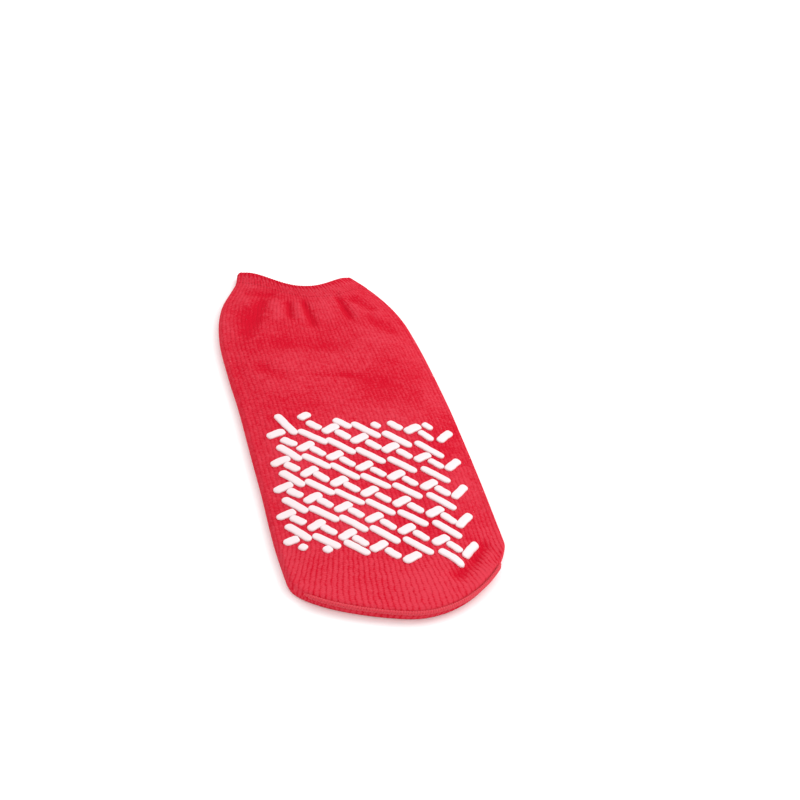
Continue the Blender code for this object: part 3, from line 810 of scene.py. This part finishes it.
SHIFTS = {
    # row, kind, and column where it is one mark: how far the cloth carried it, in millimetres
    (0, "corner_bar"): (0.5, 3.0),
    (0, "first_tick"): (-0.3, 2.2),
    (-1, "tick", 1): (0.5, 3.8),
    (-2, "dash", 3): (1.5, -2.1),
    (4, "dash", 0): (1.6, -0.4),
    (4, "tick", 1): (1.2, 0.6),
    (4, "bar", 2): (1.0, 2.2),
    (-1, "tick"): (0.0, 1.2),
    (-1, "dash"): (0.0, 1.0),
    (-2, "tick"): (-1.6, 3.2),
    (-2, "dash"): (-1.6, 3.0),
    (0, "last_tick"): (1.0, 0.8),
    (-1, "last_tick"): (1.2, 2.0),
    (-2, "last_tick"): (1.1, 4.9),
}


def heading(degrees):
    """Unit vector on the plan, turned by this much from x."""
    return np.array([math.cos(math.radians(degrees)), math.sin(math.radians(degrees))])


def bar_place(number, row):
    """Middle of a long bar: equal steps, which widen to the right and fan out downwards."""
    return (FIRST_BAR + number * COLUMN_STEP + number ** 2 * COLUMN_GAIN
            + row * ROW_STEP + number * row * ROW_FAN)


def special(kind, row, number):
    """The name of the mark's own shape, where its column or the corner gives it another."""
    return {("bar", row, 0): "first_bar", ("bar", 0, 0): "corner_bar",
            ("tick", row, 0): "first_tick", ("tick", row, LAST_TICK): "last_tick",
            }.get((kind, row, number), kind)


marks = []
for row, *columns in ROWS:
    for (kind, places), first, last in zip(PLACES.items(), columns[0::2], columns[1::2]):
        for number in range(first, last + 1):
            name = special(kind, row, number)
            shift = SHIFTS.get((row, name, number), SHIFTS.get((row, name), (0.0, 0.0)))
            offset = np.add(places[number], shift)
            marks.append((name, row, bar_place(number, row) + MM * offset,
                          CUTS.get((row, kind, number), (0.0, 1.0))))
print(len(marks), "marks")

# %% One mark as a soft pillow on the cloth
CURVE_POINTS, OUTLINE_POINTS, SMOOTH_ROUNDS = 240, 40, 2
TURN_SPREAD, WIDTH_SPREAD, LENGTH_SPREAD = 1.2, 0.03, 0.015   # degrees, then shares
PRINT_HEIGHT = 0.0009
BLUNT = 3.0               # power of the rounded ends: 2 is a half circle, more is blunter
RAGGED = ((3, 0.035), (5, 0.030), (9, 0.022))   # waves round a mark, and height in half widths
SHOULDERS = (
    # taken in by, as a share of the half width, and height as a share of PRINT_HEIGHT
    (0.00, -0.25), (0.00, 0.42), (0.06, 0.66), (0.16, 0.84), (0.32, 0.95), (0.60, 1.00),
)
LOCATE_ROUNDS = 40
chance = np.random.default_rng(7)


def sole_places(x, y):
    """across and along of plan points on the sole layer, by closing in on them."""
    x, y = x - SHIFT[0], y - SHIFT[1]
    along, across = -y / LENGTH, np.zeros_like(x)
    for _ in range(LOCATE_ROUNDS):
        plan_x, plan_y, half_width = plan_point(across, along, SOLE_SIDE_DIP)
        across = across + (x - plan_x) / half_width
        along = along + (plan_y - y) / LENGTH
    return across, along


def cloth_height(x, y):
    """Height of the creased sole at plan points."""
    across, along = sole_places(x, y)
    base = layer_point(across, along, True)[..., 2]
    return base + crease_share(base) * crease_height(x, y)


def outline(name, middle, cut):
    """A bar with superellipse ends, of which the cut leaves a stretch, evenly walked. A few
    waves round it, each from a chance start, make its edge ragged."""
    turn, length, width = MARKS[name]
    way = heading(turn + chance.normal(0.0, TURN_SPREAD))
    half = 0.5 * width * (1.0 + chance.normal(0.0, WIDTH_SPREAD))
    length *= 1.0 + chance.normal(0.0, LENGTH_SPREAD)
    middle = middle + (0.5 * (cut[0] + cut[1]) - 0.5) * length * way
    straight = max(0.5 * length * (cut[1] - cut[0]) - half, 0.0)
    angle = np.linspace(0.0, 2.0 * math.pi, CURVE_POINTS, endpoint=False)
    power = 2.0 / BLUNT
    u = np.sign(np.cos(angle)) * (straight + half * np.abs(np.cos(angle)) ** power)
    v = half * np.sign(np.sin(angle)) * np.abs(np.sin(angle)) ** power
    shape = middle + u[:, None] * way + v[:, None] * np.array([-way[1], way[0]])
    closed = np.concatenate([shape, shape[:1]])
    walk = np.concatenate([[0.0], np.cumsum(np.hypot(*np.diff(closed, axis=0).T))])
    even = np.linspace(0.0, walk[-1], OUTLINE_POINTS, endpoint=False)
    shape = np.stack([np.interp(even, walk, closed[:, k]) for k in (0, 1)], -1)
    for _ in range(SMOOTH_ROUNDS):
        shape = 0.5 * shape + 0.25 * (np.roll(shape, 1, 0) + np.roll(shape, -1, 0))
    round_turns = 2.0 * math.pi * even / walk[-1]
    ragged = sum(high * np.sin(waves * round_turns + chance.uniform(0.0, 2.0 * math.pi))
                 for waves, high in RAGGED)
    shape = shape + min(half, straight) * ragged[:, None] * unit(shape - shape.mean(0))
    return shape + SHIFT[:2], half


def pillow_rings(shape, half):
    """The outline, taken in along its own normals step by step, with the height of each."""
    tangent = unit(np.roll(shape, -1, 0) - np.roll(shape, 1, 0))
    inward = np.stack([-tangent[:, 1], tangent[:, 0]], -1)
    flat = np.stack([shape + share * half * inward for share, _ in SHOULDERS])
    lift = PRINT_HEIGHT * np.array([height for _, height in SHOULDERS])[:, None]
    z = cloth_height(flat[..., 0], flat[..., 1]) + lift
    return np.concatenate([flat, z[..., None]], -1)


print("shoulders of a mark:", len(SHOULDERS))

# %% All marks, one piece for each row of each kind
def join_marks(name, parts, replaced):
    """Several pillows as one mesh: their grids stacked, each closed by two caps."""
    points, quads, caps, start = [], [], [], 0
    for rings in parts:
        index = start + np.arange(rings.shape[0] * rings.shape[1]).reshape(rings.shape[:2])
        points.append(rings.reshape(-1, 3))
        quads.append(quads_of(index, closed=True))
        caps += [index[0][::-1], index[-1]]
        start += index.size
    piece = mesh_piece(name, np.concatenate(points), np.concatenate(quads),
                       caps=caps, looks=(white_print,))
    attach(piece, "root")
    if replaced:
        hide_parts(*replaced)


row_parts = {}
for name, row, middle, cut in marks:
    family = "bars" if "bar" in name else "zigzag"
    row_parts.setdefault((family, row), []).append(pillow_rings(*outline(name, middle, cut)))

node_names = {"bars": "tread_bar_", "zigzag": "tread_zigzag_"}
for (family, row), parts in row_parts.items():
    label = row - FIRST_ROW + 1
    start = f"{node_names[family]}{label}_"
    join_marks(f"grip_{family}_{label}", parts, [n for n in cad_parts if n.startswith(start)])
print(sum(len(parts) for parts in row_parts.values()), "marks printed in", len(row_parts), "rows")

# %% [markdown]
# ## Floor, light and camera
#
# The photograph is a catalogue picture on white: even light from all round, and a soft, weak
# key light from the upper right that leaves only a faint shadow at the lower left. A white
# world lights the floor almost to paper white, a faint glow of the floor keeps the sock from
# tinting it, and one large lamp adds the form. The camera is far off with a long lens, 34
# degrees above the floor, and rolled by 10 degrees.

# %% Floor and lamps
FLOOR_SIZE = 8.0
WORLD_LIGHT = 1.06
FLOOR_GLOW = 0.16         # a lit table, which keeps the sock from tinting the floor
KEY_PLACE, KEY_SIZE, KEY_POWER = (1.00, 0.40, 1.15), 1.2, 11.0   # metres, metres, watts

half_floor = 0.5 * FLOOR_SIZE
floor_corners = np.array([(-half_floor, -half_floor, 0.0), (half_floor, -half_floor, 0.0),
                          (half_floor, half_floor, 0.0), (-half_floor, half_floor, 0.0)])
floor_look, floor_nodes, _ = new_look("pale_floor")
floor_shader = floor_nodes["Principled BSDF"]
floor_shader.inputs["Base Color"].default_value = (0.86, 0.86, 0.86, 1.0)
floor_shader.inputs["Emission Color"].default_value = (1.0, 1.0, 1.0, 1.0)
floor_shader.inputs["Emission Strength"].default_value = FLOOR_GLOW
floor_shader.inputs["Roughness"].default_value = 0.9
floor_shader.inputs["Specular IOR Level"].default_value = 0.1
floor = mesh_piece("floor", floor_corners, np.array([[0, 1, 2, 3]]), looks=(floor_look,))

world = bpy.data.worlds.new("studio")
world.use_nodes = True
world.node_tree.nodes["Background"].inputs["Color"].default_value = (1.0, 1.0, 1.0, 1.0)
world.node_tree.nodes["Background"].inputs["Strength"].default_value = WORLD_LIGHT
bpy.context.scene.world = world


def lamp(name, place, aim, size, power):
    """A square area lamp at a place, turned to face a point."""
    data = bpy.data.lights.new(name, "AREA")
    data.shape, data.size, data.energy = "SQUARE", size, power
    made = bpy.data.objects.new(name, data)
    back = unit(np.array(place) - np.array(aim))
    side = unit(np.cross(np.array([0.0, 0.0, 1.0]), back))
    turn = Matrix(np.column_stack([side, np.cross(back, side), back]).tolist()).to_4x4()
    made.matrix_world = Matrix.Translation(place) @ turn
    bpy.context.scene.collection.objects.link(made)


lamp("key", KEY_PLACE, (0.0, 0.0, 0.0), KEY_SIZE, KEY_POWER)
print("floor, world and key lamp")

# %% The camera of the photograph
CAMERA_TURN, CAMERA_RISE, CAMERA_ROLL = -16.1, 34.0, 10.0     # degrees
CAMERA_DISTANCE = 1.6695
CAMERA_LENS, SENSOR = 162.0, 36.0                             # millimetres
AIM = np.array([0.0270, 0.0325, 0.0])      # what the middle of the picture looks at

turn, rise, roll = (math.radians(v) for v in (CAMERA_TURN, CAMERA_RISE, CAMERA_ROLL))
back = np.array([math.sin(turn) * math.cos(rise), -math.cos(turn) * math.cos(rise),
                 math.sin(rise)])
level = np.array([math.cos(turn), math.sin(turn), 0.0])
upright = np.cross(back, level)
right = math.cos(roll) * level + math.sin(roll) * upright
camera_data = bpy.data.cameras.new("photo_camera")
camera_data.lens, camera_data.sensor_width = CAMERA_LENS, SENSOR
camera_data.clip_start, camera_data.clip_end = 0.05, 30.0
camera = bpy.data.objects.new("photo_camera", camera_data)
axes = np.column_stack([right, np.cross(back, right), back])
camera.matrix_world = (Matrix.Translation((AIM + CAMERA_DISTANCE * back).tolist())
                       @ Matrix(axes.tolist()).to_4x4())
bpy.context.scene.collection.objects.link(camera)
bpy.context.scene.camera = camera
bpy.context.scene.view_settings.view_transform = "Standard"
print("camera", CAMERA_DISTANCE, "m away")
